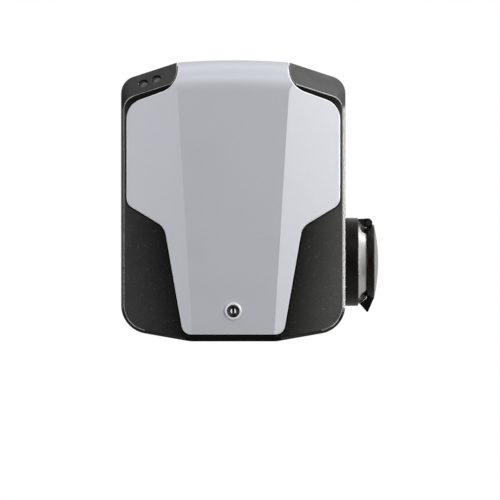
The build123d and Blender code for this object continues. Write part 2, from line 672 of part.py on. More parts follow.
def device(x0, poles):
    """Body of a modular device on the rail, with its terminal screw wells."""
    t = UNIT_TALL / 2
    n = NOSE_TALL / 2
    y_shoulder = rail_front - SHOULDER_Y
    y_nose = rail_front - NOSE_Y
    side = Polyline(
        (rail_front, -t), (y_shoulder, -t), (y_shoulder, -n), (y_nose, -n),
        (y_nose, n), (y_shoulder, n), (y_shoulder, t), (rail_front, t), close=True)
    body = Pos(x0, 0, rail_z) * extrude(Plane.YZ * make_face(side), UNIT * poles)
    for pole in range(poles):
        x = x0 + UNIT * (pole + 0.5)
        for z in (rail_z - (t + n) / 2, rail_z + (t + n) / 2):
            body -= rod_y(WELL_SCREW_R, y_shoulder - 1, y_shoulder + WELL_SCREW, x, z)
    return body


# Residual current breaker with a toggle and a test button
nose = rail_front - NOSE_Y
breaker = device(breaker_left, BREAKER_POLES)
lever_x = breaker_left + UNIT * BREAKER_POLES * LEVER_AT
lever_y = nose + LEVER_R + LEVER_SINK
lever_half = LEVER_WIDE / 2
slot = LEVER_R * 2
breaker -= block(lever_x - lever_half - LEVER_AIR, lever_x + lever_half + LEVER_AIR,
                 nose - 1, lever_y + LEVER_R + LEVER_AIR, rail_z - slot, rail_z + slot)
lever_pin = lever_half + LEVER_PIN
pin_hole = lever_pin + LEVER_AIR / 2
breaker -= rod_x(LEVER_PIN_R + PIN_PLAY, lever_x - pin_hole, lever_x + pin_hole, lever_y, rail_z)
handle = block(lever_x - lever_half, lever_x + lever_half, lever_y - LEVER_OUT, lever_y,
               rail_z - LEVER_R / 2, rail_z + LEVER_R / 2)
handle = handle.rotate(Axis((0, lever_y, rail_z), (1, 0, 0)), -LEVER_TILT)
lever = rod_x(LEVER_R, lever_x - lever_half, lever_x + lever_half, lever_y, rail_z) + handle
lever += rod_x(LEVER_PIN_R, lever_x - lever_pin, lever_x + lever_pin, lever_y, rail_z)
pieces["rccb_lever"] = lever

button_x = breaker_left + UNIT * BREAKER_POLES * BUTTON_AT
button_half = BUTTON / 2
wide = button_half + BUTTON_PLAY
breaker -= block(button_x - wide, button_x + wide, nose - 1, nose + BUTTON_IN + BUTTON_TRAVEL,
                 rail_z - wide, rail_z + wide)
button = block(button_x - button_half, button_x + button_half, nose - BUTTON_OUT, nose + BUTTON_IN,
               rail_z - button_half, rail_z + button_half)
pieces["test_button"] = button
pieces["rccb_body"] = breaker

# Contactor and supply terminals beside it
relay_left = breaker_left + UNIT * BREAKER_POLES + UNIT_GAP
contactor = device(relay_left, RELAY_POLES)
relay_right = relay_left + UNIT * RELAY_POLES
side, half, deep = CONTACTOR_RECESS
contactor -= block(relay_left + side, relay_right - side, nose - 1, nose + deep, rail_z - half, rail_z + half)
pieces["contactor"] = contactor
terminals = []
for i in range(TERMINALS):
    x0 = relay_right + 2 * UNIT_GAP + i * (TERMINAL_WIDE + TERMINAL_GAP)
    front = rail_front - TERMINAL_DEEP
    terminal = block(x0, x0 + TERMINAL_WIDE, rail_front, front,
                     rail_z - TERMINAL_TALL / 2, rail_z + TERMINAL_TALL / 2)
    reach = TERMINAL_TALL / 2 - TERMINAL_SCREW_IN
    for z in (rail_z - reach, rail_z + reach):
        terminal -= rod_y(TERMINAL_SCREW_R, front - 1, front + WELL_SCREW, x0 + TERMINAL_WIDE / 2, z)
    terminals.append(terminal.solids()[0])
pieces["supply_terminals"] = Compound(terminals)


def m3_screw(x, z, y_seat, long):
    """Small pan head screw seated at y_seat."""
    screw = rod_y(M3_R, y_seat, y_seat + long, x, z) + rod_y(M3_HEAD_R, y_seat, y_seat - M3_HEAD, x, z)
    wide, deep = M3_SLOT
    y_head = y_seat - M3_HEAD
    screw -= block(x - wide / 2, x + wide / 2, y_head - 1, y_head + deep,
                   z - M3_HEAD_R - 1, z + M3_HEAD_R + 1)
    return screw.solids()[0]


# Control board on four posts
board_wide, board_tall, board_thick = BOARD
board_front = BOARD_Y - board_thick
board_left = BOARD_SIDE - HALF
board_low = rail_z - UNIT_TALL / 2 - BOARD_AIR - board_tall
board = block(board_left, board_left + board_wide, BOARD_Y, board_front, board_low, board_low + board_tall)
board_screws = []
for x in (board_left + BOARD_EDGE, board_left + board_wide - BOARD_EDGE):
    for z in (board_low + BOARD_EDGE, board_low + board_tall - BOARD_EDGE):
        tub += rod_y(POST_R, -WALL + 1, BOARD_Y, x, z)
        tub -= rod_y(M3_R + M3_PLAY, BOARD_Y - 1, BOARD_Y + M3_LONG, x, z)
        board -= rod_y(M3_R + M3_PLAY, BOARD_Y + 1, board_front - 1, x, z)
        board_screws.append(m3_screw(x, z, board_front, M3_LONG))
pieces["control_board"] = board
pieces["board_screws"] = Compound(board_screws)


def on_board(u, v, wide, tall, high):
    """Block on the board, u and v from its lower left corner."""
    x = board_left + u
    z = board_low + v
    return block(x, x + wide, board_front, board_front - high, z, z + tall).solids()[0]


clear = BOARD_EDGE + POST_R + PART_GAP
relay_v = board_tall - PART_GAP - RELAY[1]
relays = [on_board(clear + RELAY_PITCH * i, relay_v, *RELAY) for i in range(RELAYS)]
pieces["board_relays"] = Compound(relays)
pieces["board_transformer"] = on_board(clear, clear, *TRANSFORMER)
cap_u = clear + TRANSFORMER[0] + PART_GAP + CAPACITOR_R
caps = []
for v in (clear + CAPACITOR_R, clear + 3 * CAPACITOR_R + PART_GAP):
    cap = rod_y(CAPACITOR_R, board_front, board_front - CAPACITOR, board_left + cap_u, board_low + v)
    caps.append(cap.solids()[0])
pieces["board_capacitors"] = Compound(caps)
chip_u = cap_u + CAPACITOR_R + PART_GAP
side_u = board_wide - PART_GAP - CONNECTOR_WIDE
pieces["board_connectors"] = Compound([
    on_board(cap_u, PART_GAP / 2, CONNECTOR_LONG, CONNECTOR_WIDE - PART_GAP / 2, CONNECTOR),
    on_board(side_u, clear, CONNECTOR_WIDE, CONNECTOR_LONG, CONNECTOR),
])
pieces["board_chip"] = on_board(chip_u, clear + PART_GAP, *CHIP)

# Touch guard in front of the live parts
guard_rear = rail_front - SHOULDER_Y - GUARD_AIR
guard_front = guard_rear - GUARD
guard = prism(inset(tub_face, WALL + GUARD_EDGE), guard_rear, guard_front)
air = GUARD_WINDOW_AIR
guard -= block(breaker_left - air, relay_right + air, guard_rear + 1, guard_front - 1,
               rail_z - NOSE_TALL / 2 - air, rail_z + NOSE_TALL / 2 + air)
guard -= block(HALF - GUARD_SOCKET_SIDE, HALF, guard_rear + 1, guard_front - 1,
               SOCKET_Z - FLANGE_R, SOCKET_Z + WELL_R + ACTUATOR[2] + GUARD_SOCKET_AIR)
guard_screws = []
post_top = HEIGHT - GUARD_POST_TOP
post_x, post_left, post_right = GUARD_POST_HALF
posts = [
    (-post_x, post_top), (post_x, post_top), (GUARD_POST_SIDE - HALF, board_low + board_tall / 2),
    (-post_left, GUARD_POST_LOW), (post_right, GUARD_POST_LOW),
]
for x, z in posts:
    tub += rod_y(GUARD_POST_R, -WALL + 1, guard_rear, x, z)
    tub -= rod_y(M3_R + M3_PLAY, guard_rear - 1, guard_rear + M3_LONG, x, z)
    guard -= rod_y(M3_R + M3_PLAY, guard_rear + 1, guard_front - 1, x, z)
    guard_screws.append(m3_screw(x, z, guard_front, M3_LONG))
pieces["touch_guard"] = guard
pieces["guard_screws"] = Compound(guard_screws)

# Socket: local X is Y, local Y is Z and local Z is X
socket = Plane(origin=(0, SOCKET_Y, SOCKET_Z), x_dir=(0, 1, 0), z_dir=(1, 0, 0))


def disc(r, x0, x1, u=0.0, v=0.0):
    """Round bar along X at (u, v) from the socket's axis."""
    return socket * Pos(u, v, (x0 + x1) / 2) * Cylinder(r, abs(x1 - x0))


def near_socket(x0, x1, u0, u1, v0, v1):
    """Box with Y and Z counted from the socket's axis."""
    return block(x0, x1, SOCKET_Y + u0, SOCKET_Y + u1, SOCKET_Z + v0, SOCKET_Z + v1)


def slab(points, u0, u1):
    """Plate square to Y from points (x, height over the socket's axis)."""
    face = make_face(Polyline(*points, close=True))
    return prism(Pos(0, SOCKET_Z) * face, SOCKET_Y + u1, SOCKET_Y + u0)


flange_rear = HALF + GASKET
flange_front = flange_rear + FLANGE
bezel_front = flange_front + BEZEL
lid_rear = bezel_front + LID_AIR
lid_front = lid_rear + LID
well_outer = WELL_R + WELL_WALL
well_rear = HALF - WELL_DEEP
axis_x = lid_rear + LID_AXIS_OUT
axis_v = LID_AXIS_UP
screw_spots = []
for a in (SCREW_ANGLE, 180 - SCREW_ANGLE, 180 + SCREW_ANGLE, 360 - SCREW_ANGLE):
    screw_spots.append((SCREW_PCD_R * cos(radians(a)), SCREW_PCD_R * sin(radians(a))))

boss_rear = HALF - WALL - SCREW_BOSS
tub -= disc(well_outer + WELL_PLAY, HALF - WALL - 1, HALF + 1)
for u, v in screw_spots:
    boss = disc(SCREW_R + SCREW_BOSS_WALL, boss_rear, HALF - 1, u, v)
    tub += boss - disc(well_outer + WELL_PLAY, 0, HALF + 1)
    tub -= disc(SCREW_R + SCREW_PLAY, boss_rear + SCREW_TIP / 2, HALF + 1, u, v)

gasket = disc(FLANGE_R - GASKET_IN, HALF, flange_rear)
gasket -= disc(well_outer + WELL_PLAY, HALF - 1, flange_rear + 1)
flange = disc(FLANGE_R, flange_rear, flange_front)
flange = fillet(flange.faces().sort_by(Axis.X)[-1].edges(), FLANGE_ROUND)
flange += disc(well_outer, well_rear, flange_front)
flange -= disc(WELL_R, well_rear - 1, flange_front + 1)
ear_out = EAR_IN + EAR_WIDE
ear_low = axis_v - EAR_R
ear_high = axis_v + EAR_TOP
foot, belly, crown = EAR_NOSE
bracket = slab([
    (flange_front - EAR_ROOT, ear_low),
    (axis_x + foot, ear_low),
    (axis_x + belly, axis_v - EAR_BELLY),
    (axis_x + crown, ear_high),
    (flange_front, ear_high - EAR_FALL[0]),
    (flange_front - EAR_ROOT, ear_high - EAR_FALL[1]),
], -ear_out, ear_out)


def fan(grow):
    """Plan of the hinge bracket, narrow at the flange and as wide as the ears at the lid."""
    root = EAR_ROOT_HALF + grow
    wide = ear_out + grow
    face = make_face(Polyline(
        (flange_front - EAR_ROOT - grow, -root), (flange_front, -root), (axis_x - EAR_R, -wide),
        (lid_front, -wide), (lid_front, wide), (axis_x - EAR_R, wide), (flange_front, root),
        (flange_front - EAR_ROOT - grow, root), close=True))
    return Pos(0, SOCKET_Y, SOCKET_Z + ear_low - grow) * extrude(face, 3 * EAR_R)


bracket = bracket & fan(0)
knuckle_room = axis_x - EAR_R - EAR_AIR
bracket -= near_socket(knuckle_room, lid_front, -EAR_IN, EAR_IN, ear_low - 1, axis_v + EAR_R + 1)
flange += bracket
flange -= rod_y(LID_PIN_R + PIN_PLAY, SOCKET_Y - FAR, SOCKET_Y + FAR, axis_x, SOCKET_Z + axis_v)

bezel_side = Polyline(
    (WELL_R, flange_front), (BEZEL_R, flange_front), (BEZEL_TIP_R, bezel_front), (WELL_R, bezel_front),
    close=True)
bezel = socket * revolve(Plane.XZ * make_face(bezel_side), Axis.Z)
bezel -= fan(EAR_AIR)
seat_x = flange_front + POCKET_FLOOR
head_x = seat_x + SCREW_HEAD
cross_wide, cross_long, cross_deep = SCREW_CROSS
screws = []
for u, v in screw_spots:
    gasket -= disc(SCREW_R + SCREW_PLAY, HALF - 1, flange_rear + 1, u, v)
    flange -= disc(SCREW_R + SCREW_PLAY, flange_rear - 1, flange_front + 1, u, v)
    bezel -= disc(SCREW_R + SCREW_PLAY, flange_front - 1, bezel_front + 1, u, v)
    bezel -= disc(POCKET_R, flange_front + POCKET_FLOOR, bezel_front + 1, u, v)
    screw = disc(SCREW_R, boss_rear + SCREW_TIP, seat_x, u, v) + disc(SCREW_HEAD_R, seat_x, head_x, u, v)
    for a, b in ((cross_wide, cross_long), (cross_long, cross_wide)):
        screw -= near_socket(head_x - cross_deep, head_x + 1, u - a / 2, u + a / 2, v - b / 2, v + b / 2)
    screws.append(screw.solids()[0])
pieces["flange_gasket"] = gasket
pieces["socket_bezel"] = bezel
pieces["bezel_screws"] = Compound(screws)

# Contact carrier with seven contacts
tower_front = well_rear + TOWER_LONG
insert = disc(WELL_R - INSERT_PLAY, well_rear, well_rear + CARRIER)
tower = disc(TOWER_R, well_rear + CARRIER - 1, tower_front)
tower -= near_socket(well_rear + CARRIER, tower_front + 1, -FAR, FAR, TOWER_FLAT, FAR)
insert += tower
contact_spots = [
    (0.0, -1.5, POWER_R), (-15.0, -1.5, POWER_R), (15.0, -1.5, POWER_R),
    (-8.2, -14.8, POWER_R), (8.2, -14.8, POWER_R),
    (-7.6, 11.0, SIGNAL_R), (7.6, 11.0, SIGNAL_R),
]
contacts = []
for u, v, r in contact_spots:
    insert -= disc(r, well_rear - 1, tower_front + 1, u, v)
    sleeve = disc(r - SLEEVE_PLAY, well_rear - SLEEVE_TAIL, tower_front - SLEEVE_SINK, u, v)
    sleeve -= disc(r - SLEEVE_PLAY - SLEEVE_WALL, well_rear + CARRIER, tower_front, u, v)
    contacts.append(sleeve.solids()[0])
pieces["socket_insert"] = insert
pieces["socket_contacts"] = Compound(contacts)

# Plug lock: a bolt that drops into the well from above
bolt_x = HALF - BOLT_PIN_X
flange -= rod_z(BOLT_PIN_R + BOLT_PIN_PLAY, SOCKET_Z + WELL_R - 2, SOCKET_Z + FAR, bolt_x, SOCKET_Y)
pieces["socket_flange"] = flange
actuator_low = SOCKET_Z + well_outer + ACTUATOR_AIR
act_long, act_wide, act_tall = ACTUATOR
act_front = bolt_x + ACTUATOR_NOSE
actuator = block(act_front - act_long, act_front, SOCKET_Y - act_wide / 2, SOCKET_Y + act_wide / 2,
                 actuator_low, actuator_low + act_tall)
bolt_low = SOCKET_Z + WELL_R + BOLT_PIN_LIFT
bolt_high = bolt_low + BOLT_PIN_LONG
actuator -= rod_z(BOLT_PIN_R + BOLT_PIN_PLAY, actuator_low - 1, bolt_high + 1, bolt_x, SOCKET_Y)
pieces["bolt_actuator"] = actuator
pieces["lock_bolt"] = rod_z(BOLT_PIN_R, bolt_low, bolt_high, bolt_x, SOCKET_Y)

# Socket lid with finger tab, seal, dome and hinge pin
lid = disc(LID_R, lid_rear, lid_front)
lid = fillet(lid.edges().filter_by(GeomType.CIRCLE), LID_ROUND)
up, edge, thin = TAB_ROOT
cone = BEZEL_R - TAB_NEAR * (BEZEL_R - BEZEL_TIP_R) / BEZEL
tab_points = [
    (lid_rear, -LID_R + up), (lid_rear, -BEZEL_TIP_R - TAB_AIR), (flange_front + TAB_NEAR, -cone - TAB_AIR),
    (axis_x - TAB_TIP, -TAB_REACH), (lid_front, -LID_R + edge), (lid_front - thin, -LID_R + up),
]
tab = slab(tab_points, -TAB_HALF, TAB_HALF)
tab = fillet(tab.edges().filter_by(Axis.Y).sort_by(Axis.Z)[0], TAB_ROUND)
lid += tab
knuckle = EAR_IN - LUG_PLAY
for u0 in (-ear_out - EAR_AIR, EAR_IN - EAR_AIR / 2):
    u1 = u0 + EAR_WIDE + 1.5 * EAR_AIR
    lid -= rod_y(EAR_R + EAR_AIR, SOCKET_Y + u0, SOCKET_Y + u1, axis_x, SOCKET_Z + axis_v)
lid += rod_y(LUG_R, SOCKET_Y - knuckle, SOCKET_Y + knuckle, axis_x, SOCKET_Z + axis_v)
behind_face, before_face = LUG_IN
lid += slab([
    (axis_x, axis_v + LUG_R), (axis_x + LUG_TOP, axis_v + LUG_R),
    (lid_front - before_face, LID_R - LUG_ROOT), (lid_rear + behind_face, LID_R - LUG_ROOT),
    (lid_rear + behind_face, axis_v - LUG_R / 2),
], -knuckle, knuckle)
lid -= rod_y(LID_PIN_R + PIN_PLAY, SOCKET_Y - FAR, SOCKET_Y + FAR, axis_x, SOCKET_Z + axis_v)
ring_in = LID_SEAL_R - LID_SEAL_WIDE / 2
ring_out = LID_SEAL_R + LID_SEAL_WIDE / 2
lid -= disc(ring_out, lid_rear - 1, lid_rear + LID_SEAL_DEEP) - disc(ring_in, lid_rear - 1, lid_front)
pieces["socket_lid"] = lid
seal = disc(ring_out, lid_rear - LID_SEAL_PROUD, lid_rear + LID_SEAL_DEEP)
pieces["lid_seal"] = seal - disc(ring_in, lid_rear - 1, lid_front)
dome_r = (DOME_R ** 2 + DOME ** 2) / (2 * DOME)
dome = socket * Pos(0, 0, lid_front + DOME - dome_r) * Sphere(dome_r)
pieces["lid_dome"] = dome & disc(LID_R, lid_front, lid_front + DOME + 1)
pin_near = SOCKET_Y - ear_out
pin_far = SOCKET_Y + ear_out + LID_PIN_OUT
over, thick = LID_PIN_HEAD
lid_pin = rod_y(LID_PIN_R, pin_near, pin_far, axis_x, SOCKET_Z + axis_v)
lid_pin += rod_y(LID_PIN_R + over, pin_near - thick, pin_near, axis_x, SOCKET_Z + axis_v)
pieces["lid_hinge_pin"] = lid_pin
pieces["rear_housing"] = tub

os.makedirs("parts", exist_ok=True)
for name, piece in pieces.items():
    export_step(Pos(0, 0, -ORIGIN_HEIGHT) * piece, f"parts/{name}.step")
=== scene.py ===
import json
from math import cos, radians, sin

import bpy
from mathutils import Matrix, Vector


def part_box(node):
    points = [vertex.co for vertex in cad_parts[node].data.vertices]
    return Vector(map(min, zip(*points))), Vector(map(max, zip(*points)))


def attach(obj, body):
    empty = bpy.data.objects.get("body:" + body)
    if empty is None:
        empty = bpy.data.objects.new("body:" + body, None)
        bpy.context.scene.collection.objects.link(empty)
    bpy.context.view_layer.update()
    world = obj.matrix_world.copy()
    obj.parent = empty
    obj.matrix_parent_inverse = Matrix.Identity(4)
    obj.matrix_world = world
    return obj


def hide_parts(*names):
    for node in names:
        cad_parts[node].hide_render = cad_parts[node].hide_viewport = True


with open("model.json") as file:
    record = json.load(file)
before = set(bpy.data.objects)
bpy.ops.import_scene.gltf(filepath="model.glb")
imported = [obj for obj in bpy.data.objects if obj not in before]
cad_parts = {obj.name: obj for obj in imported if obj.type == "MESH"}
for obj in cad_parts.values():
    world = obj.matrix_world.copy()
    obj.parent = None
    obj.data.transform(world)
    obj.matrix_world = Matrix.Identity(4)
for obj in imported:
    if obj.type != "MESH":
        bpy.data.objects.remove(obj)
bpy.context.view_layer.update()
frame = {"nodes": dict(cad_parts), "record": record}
nodes = frame["nodes"]
scene = bpy.context.scene

MM = 0.001

# Colours, linear
WHITE = (1.0, 1.0, 1.0)
SHELL_BLACK = (0.0035, 0.0035, 0.0035)
SHELL_SPECK = (0.030, 0.030, 0.031)
PANEL_SPECK = (0.045, 0.045, 0.047)
# Painted highlight of the creases: a pale grey on the black
CREASE_HIGHLIGHT = (0.40, 0.40, 0.40)
CREASE_HIGHLIGHT_DIM = (0.33, 0.33, 0.33)
SHIELD_SILVER = (0.493, 0.510, 0.557)
SHIELD_FLAKE = (0.553, 0.570, 0.618)
# Painted highlight on the rounded edge of the shield
SHIELD_EDGE_HIGHLIGHT = (0.84, 0.85, 0.87)
SHIELD_EDGE_HIGHLIGHT_FLAKE = (0.90, 0.91, 0.92)
TRIM_SILVER = (0.60, 0.59, 0.58)
TRIM_FLAKE = (0.66, 0.65, 0.64)
DOME_SILVER = (0.36, 0.35, 0.34)
DOME_FLAKE = (0.41, 0.40, 0.39)
SOCKET_BLACK = (0.004, 0.0035, 0.003)
SOCKET_SHEEN = (0.007, 0.006, 0.005)
NICKEL = (0.86, 0.86, 0.87)
NICKEL_DULL = (0.82, 0.82, 0.83)
# Painted highlight of the slivers beside the key slot
GUIDE_HIGHLIGHT = (0.95, 0.95, 0.95)
GUIDE_HIGHLIGHT_DIM = (0.88, 0.88, 0.88)
CORE_DARK = (0.035, 0.035, 0.037)
CORE_WORN = (0.085, 0.085, 0.09)
WINDOW_SMOKE = (0.030, 0.032, 0.034)
WINDOW_CLOUD = (0.050, 0.052, 0.054)
RUBBER_BLACK = (0.012, 0.012, 0.012)
RUBBER_DUST = (0.030, 0.030, 0.030)
ZINC = (0.55, 0.56, 0.58)
ZINC_DARK = (0.38, 0.39, 0.41)
CONTACT = (0.72, 0.66, 0.50)
CONTACT_DULL = (0.52, 0.46, 0.32)
STEEL_BLACK = (0.006, 0.006, 0.006)
STEEL_BLACK_WORN = (0.014, 0.014, 0.014)
DEVICE_GREY = (0.58, 0.59, 0.59)
DEVICE_SHADE = (0.55, 0.56, 0.56)
DEVICE_DARK = (0.030, 0.030, 0.032)
DEVICE_DARK_SPECK = (0.055, 0.055, 0.058)
LEVER_BLUE = (0.035, 0.10, 0.28)
LEVER_BLUE_SHADE = (0.028, 0.08, 0.23)
BUTTON_YELLOW = (0.72, 0.47, 0.04)
BUTTON_SHADE = (0.62, 0.39, 0.03)
TERMINAL_GREY = (0.30, 0.31, 0.31)
TERMINAL_SHADE = (0.25, 0.26, 0.26)
MASK_GREEN = (0.012, 0.105, 0.040)
TRACK_GREEN = (0.030, 0.170, 0.075)
GUARD_MILK = (0.62, 0.63, 0.62)
GUARD_CLOUD = (0.65, 0.66, 0.65)
CAN_SILVER = (0.58, 0.59, 0.60)
CAN_SHADE = (0.46, 0.47, 0.48)
FLOOR_PALE = (0.82, 0.82, 0.82)
FLOOR_DIM = (0.12, 0.12, 0.12)
FLOOR_SEEN = (0.92, 0.92, 0.92)

# Textures
NOISE_SPAN = (0.3, 0.7)         # most of a noise value lies between these
SHELL_GRAIN = 0.9 * MM
PANEL_GRAIN = 1.7 * MM
GUARD_COVER = 0.42              # how much of what lies behind it the touch guard hides
TRACK_LONG = 9 * MM
TRACK_PITCH = 2.4 * MM
TRACK_WIDE = 0.35 * MM

# Painted sheen and shade of the black panels: reflection strength set by place, rising from the lower
# corner of the shield outwards
PANEL_FOOT = (49.2 * MM, 130.7 * MM)  # that corner, across and down from the origin
PANEL_LEAN = radians(9.9)
PANEL_WIDE = 44 * MM
SHEEN_NEAR = 0.06
SHEEN_OUTER = 0.51
# The brow is painted shade: above the shield the panels' reflection is weakened by place.
BROW_FOOT = 80 * MM             # the dull band above the shield begins here and is full at its top
BROW_TOP = 98 * MM
BROW_SHEEN = 0.15

# Rounded edges of the two shells: their width, and the rearmost place of edges that are rounded
SOFT_EDGES = {
    "front_cover": {"width": 0.5 * MM, "back": -88.0 * MM},
    "rear_housing": {"width": 0.35 * MM, "back": 1.0 * MM},
}
EDGE_STEPS = 2
MERGE = 0.001 * MM              # corners nearer than this are one corner
PLANE_ANGLE = radians(0.2)      # faces that meet at less than this are one face
CREASE_ANGLE = radians(9.0)     # edges sharper than this stay sharp in the shading
EDGE_ANGLE = radians(30.0)      # edges sharper than this are rounded

# How far faces look to the front, to the side or up, as parts of their normals
FLAT = 0.965                    # flat faces, such as the panels, look their way more than this
CREASED = 0.79                  # creases with the painted highlight look to the front more than this, and bevels less
ROUNDED = 0.93                  # the rounded edge of the shield looks to the front less than this
STEEP = 0.35                    # bevels look to the front, and aside or up, more than this
LEVEL = 0.1                     # faces that look along an axis less than this lie along it
SHOULDER_RISE = 0.2             # side bevels look up less than this
SHOULDER_FLAT = 0.55            # walls of the window holes look up less than this
ASIDE = 0.12                    # side edges of the shield's rolled top look aside more than this

# Places of faces
MOUTH_R = 6.3 * MM              # just outside the step in the ring of the lock
ROLL_FOOT = 102 * MM            # foot of the shield's rolled top
LIP_HALF = 60 * MM              # half the length of the lip under the shield
GAP_NEAR = 1.6 * MM             # walls of the cover nearer to the shield than this lie in the gap
POCKET_NEAR = 32.0 * MM         # screw pockets of the bezel lie farther from its axis than this
POCKET_DEEP = 1.0 * MM          # and their floors farther behind its front than this

# Windows over the status lamps: width and depth of each step, from the rim inwards
WINDOW_DISH = [(0.15 * MM, 1.1 * MM), (1.3 * MM, -0.25 * MM), (1.2 * MM, -0.1 * MM)]
WINDOW_FRONT = 0.2 * MM         # faces nearer to the foremost than this are the fronts of the windows
WINDOW_SMOOTH = radians(40)

# Lid of the socket
TAB_LIFT = 0.55 * MM
TAB_SLOPE = Vector((-0.648, 0.0, 0.762))  # the way the upper face of the finger tab looks
TAB_DOWN = 30 * MM              # the tab lies farther below the axis of the socket than this
LID_SMOOTH = radians(30)

# Guide round the key slot
GUIDE_SIDES = 48
GUIDE_HALF_WIDE = 2.8 * MM
GUIDE_HALF_TALL = 2.6 * MM
GUIDE_THICK = 0.4 * MM
GUIDE_SINK = 0.3 * MM           # below the rim of the plug's hollow face
GUIDE_SLOT = 2.2 * MM
GUIDE_CUT = 20 * MM             # reach of the slot's cutter, past the guide all round

# Studio, in metres and watts
CAMERA_AT = Vector((0.0, -9.10, 0.125))
AIM_AT = Vector((0.0164, -0.10, -0.0483))
SENSOR = 36.0                   # millimetres
VIEW_WIDE = 0.4902              # width of the picture at the box
FLOOR_DOWN = 1.2
FLOOR_SIZE = 6.0
LAMPS_AIM = (0.0, -0.06, 0.0)
LAMPS = {
    "front_right_panel": {"at": (1.26, -1.80, 0.45), "wide": 0.8, "tall": 1.4, "watts": 30.0,
                          "colour": (1.0, 0.985, 0.955)},
    "right_side_strip": {"at": (1.48, 0.31, -0.05), "wide": 0.15, "tall": 0.65, "watts": 15.0},
    "left_side_strip": {"at": (-1.48, 0.31, -0.05), "wide": 0.15, "tall": 0.65, "watts": 1.2},
    "front_top_panel": {"at": (0.10, -1.30, 1.50), "wide": 1.6, "tall": 1.0, "watts": 5.5},
    "left_panel": {"at": (-1.17, -1.80, 0.25), "wide": 0.7, "tall": 1.4, "watts": 9.0},
    "top_right_panel": {"at": (0.90, -0.10, 1.65), "wide": 0.9, "tall": 0.9, "watts": 12.0},
    "upper_right_panel": {"at": (1.42, 0.10, 1.25), "wide": 0.7, "tall": 0.7, "watts": 5.0},
    "top_panel": {"at": (-0.75, -0.10, 1.65), "wide": 1.2, "tall": 1.2, "watts": 4.8},
}

# Surroundings: their strength as light, the least they show to gloss, and where they fade to white
AMBIENT = 0.25
FRONT_GLOSS = 0.12
FRONT_FADE = (-0.4, 0.2)
UNDER_GLOSS = 0.06
UNDER_FADE = (-0.5, 0.1)
LEFT_GLOSS = 0.3
LEFT_FADE = (-0.9, -0.2)
BEHIND_FADE = (0.0, 0.2)


def new_finish(name, colour, roughness, metallic=0.0, specular=0.5):
    """Material with one shader, even values set on the shader's own sockets."""
    material = bpy.data.materials.new(name)
    material.use_nodes = True
    sockets = shader(material).inputs
    sockets["Base Color"].default_value = (*colour, 1.0)
    sockets["Roughness"].default_value = roughness
    sockets["Metallic"].default_value = metallic
    sockets["Specular IOR Level"].default_value = specular
    return material


def shader(material):
    """The material's surface shader."""
    return material.node_tree.nodes["Principled BSDF"]


def spots(material, size, detail=2.0, stretch=(1.0, 1.0, 1.0)):
    """Noise on Object coordinates with spots of about the given size in metres."""
    tree = material.node_tree
    place = tree.nodes.new("ShaderNodeTexCoord")
    scale = tree.nodes.new("ShaderNodeMapping")
    noise = tree.nodes.new("ShaderNodeTexNoise")
    scale.inputs["Scale"].default_value = [1.0 / (size * s) for s in stretch]
    noise.inputs["Scale"].default_value = 1.0
    noise.inputs["Detail"].default_value = detail
    tree.links.new(place.outputs["Object"], scale.inputs["Vector"])
    tree.links.new(scale.outputs["Vector"], noise.inputs["Vector"])
    return noise.outputs["Fac"]


def fade(tree, value, start, end, low, high):
    """Value that runs evenly from low to high between two ends."""
    span = tree.nodes.new("ShaderNodeMapRange")
    span.inputs["From Min"].default_value = start
    span.inputs["From Max"].default_value = end
    span.inputs["To Min"].default_value = low
    span.inputs["To Max"].default_value = high
    tree.links.new(value, span.inputs["Value"])
    return span.outputs["Result"]


def combine(tree, operation, a, b):
    """Two values through one Math node."""
    node = tree.nodes.new("ShaderNodeMath")
    node.operation = operation
    tree.links.new(a, node.inputs[0])
    tree.links.new(b, node.inputs[1])
    return node.outputs["Value"]


def tint(material, value, dark, light, low=0.4, high=0.65):
    """Colour that runs from dark to light with a noise value."""
    tree = material.node_tree
    ramp = tree.nodes.new("ShaderNodeValToRGB")
    ramp.color_ramp.elements[0].position = low
    ramp.color_ramp.elements[0].color = (*dark, 1.0)
    ramp.color_ramp.elements[1].position = high
    ramp.color_ramp.elements[1].color = (*light, 1.0)
    tree.links.new(value, ramp.inputs["Fac"])
    tree.links.new(ramp.outputs["Color"], shader(material).inputs["Base Color"])


def polish(material, value, smooth, rough):
    """Roughness that runs from smooth to rough with a noise value."""
    tree = material.node_tree
    tree.links.new(fade(tree, value, *NOISE_SPAN, smooth, rough), shader(material).inputs["Roughness"])


def relief(material, value, depth):
    """Raised texture of the given depth in metres."""
    tree = material.node_tree
    bump = tree.nodes.new("ShaderNodeBump")
    bump.inputs["Strength"].default_value = 1.0
    bump.inputs["Distance"].default_value = depth
    tree.links.new(value, bump.inputs["Height"])
    tree.links.new(bump.outputs["Normal"], shader(material).inputs["Normal"])


def grained_black(name, speck, size, low, high):
    """Black housing plastic with the eroded grain of its mould and paler specks of a size of their own."""
    material = new_finish(name, SHELL_BLACK, roughness=0.5, specular=0.42)
    tint(material, spots(material, size, detail=3.0), SHELL_BLACK, speck, low, high)
    polish(material, spots(material, 14 * MM), smooth=0.38, rough=0.46)
    relief(material, spots(material, SHELL_GRAIN, detail=3.0), depth=0.12 * MM)
    return material


